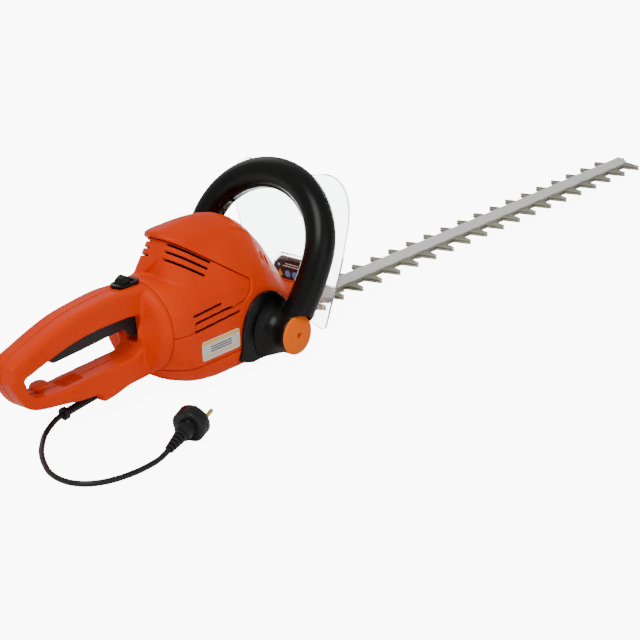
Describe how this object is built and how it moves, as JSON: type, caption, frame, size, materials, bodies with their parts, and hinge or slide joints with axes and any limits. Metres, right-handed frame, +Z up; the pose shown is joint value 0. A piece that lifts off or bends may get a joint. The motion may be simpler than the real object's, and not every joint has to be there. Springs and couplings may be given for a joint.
{
  "type": "hedge trimmer",
  "caption": "Electric hedge trimmer with a long double-sided reciprocating blade, looped front handle, clear hand guard, closed rear handle with trigger, and short mains lead with plug.",
  "frame": {"origin": "on the flat base, under the crank axis", "axes": "+X forward along the blade, +Y to the user's left, +Z up"},
  "size_m": [1.1435, 0.252, 0.2099],
  "materials": {
    "orange_shell": "satin moulded plastic",
    "steel": "zinc plated",
    "trigger_grey": "fine grained",
    "black_plastic": "satin moulded plastic",
    "cap_orange": "satin",
    "clear_guard": "clear polished plastic",
    "label_black": "printed film",
    "sticker_silver": "printed film",
    "cast_aluminium": "die cast",
    "core_steel": "stacked sheets",
    "copper": "enamelled copper",
    "brass": "plated brass",
    "carbon": "carbon",
    "blade_steel": "ground and lightly oiled",
    "bar_aluminium": "anodised extrusion",
    "rubber_black": "satin rubber"
  },
  "bodies": {
    "housing": {"main_housing": "orange_shell", "rear_cover": "orange_shell", "bottom_cover": "orange_shell", "bottom_screws": "steel", "handle_left": "orange_shell", "handle_right": "orange_shell", "handle_screws": "steel", "trigger_pin": "steel", "power_switch": "black_plastic", "lock_off_bezel": "black_plastic", "bracket_left": "black_plastic", "bracket_right": "black_plastic", "hub_bolts": "steel", "hub_nuts": "steel", "loop_front_shell": "black_plastic", "loop_rear_shell": "black_plastic", "loop_hub_left": "black_plastic", "loop_hub_right": "black_plastic", "loop_leg_strips": "black_plastic", "end_cap_left": "cap_orange", "end_cap_right": "cap_orange", "guard": "clear_guard", "guard_bracket": "black_plastic", "warning_label": "label_black", "guard_screws": "steel", "side_sticker_left": "sticker_silver", "side_sticker_right": "sticker_silver", "gear_case": "cast_aluminium", "gear_case_cover": "cast_aluminium", "bearings": "steel", "motor_posts": "cast_aluminium", "motor_frame": "black_plastic", "stator_core": "core_steel", "field_coils": "copper", "brush_holders": "brass", "carbon_brushes": "carbon", "blade_bar": "bar_aluminium", "blade_screws": "steel", "cord": "rubber_black", "strain_relief": "rubber_black", "cord_clamp": "rubber_black", "plug_body": "rubber_black", "plug_pins": "brass"},
    "trigger": {"trigger": "trigger_grey"},
    "lock_button": {"lock_off_button": "trigger_grey"},
    "loop_switch": {"loop_switch_bar": "trigger_grey"},
    "upper_blade_body": {"upper_blade": "blade_steel"},
    "lower_blade_body": {"lower_blade": "blade_steel"},
    "crank": {"crank_shaft": "steel", "crank_gear": "steel", "eccentrics": "steel"},
    "rotor": {"rotor_shaft": "steel", "pinion": "steel", "fan": "black_plastic", "armature_core": "core_steel", "armature_windings": "copper", "commutator": "copper"}
  },
  "joints": [
    {"name": "trigger_squeeze", "type": "hinge", "parent": "housing", "child": "trigger", "pos_m": [-0.258, 0, 0.101], "axis": [0, -1, 0], "range_deg": [0, 4], "stiffness_Nm_per_rad": 2, "springref_deg": -5.73},
    {"name": "lock_off_slide", "type": "slide", "parent": "housing", "child": "lock_button", "axis": [1, 0, 0], "range_m": [0, 0.006], "stiffness_N_per_m": 150, "springref_m": -0.004},
    {"name": "loop_switch_squeeze", "type": "slide", "parent": "housing", "child": "loop_switch", "axis": [0.4384, 0, 0.8988], "range_m": [0, 0.003], "stiffness_N_per_m": 400, "springref_m": -0.004},
    {"name": "upper_blade_stroke", "type": "slide", "parent": "housing", "child": "upper_blade_body", "axis": [1, 0, 0], "range_m": [-0.006, 0.006]},
    {"name": "lower_blade_stroke", "type": "slide", "parent": "housing", "child": "lower_blade_body", "axis": [1, 0, 0], "range_m": [-0.006, 0.006]},
    {"name": "crank_spin", "type": "hinge", "parent": "housing", "child": "crank", "pos_m": [0, 0, 0.03], "axis": [0, 0, 1], "continuous": true},
    {"name": "rotor_spin", "type": "hinge", "parent": "housing", "child": "rotor", "pos_m": [-0.035, 0, 0.1], "axis": [0, 0, 1], "continuous": true}
  ],
  "couplings": [
    {"joint": "lower_blade_stroke", "follows": "upper_blade_stroke", "ratio": -1},
    {"joint": "rotor_spin", "follows": "crank_spin", "ratio": -3.6667}
  ]
}
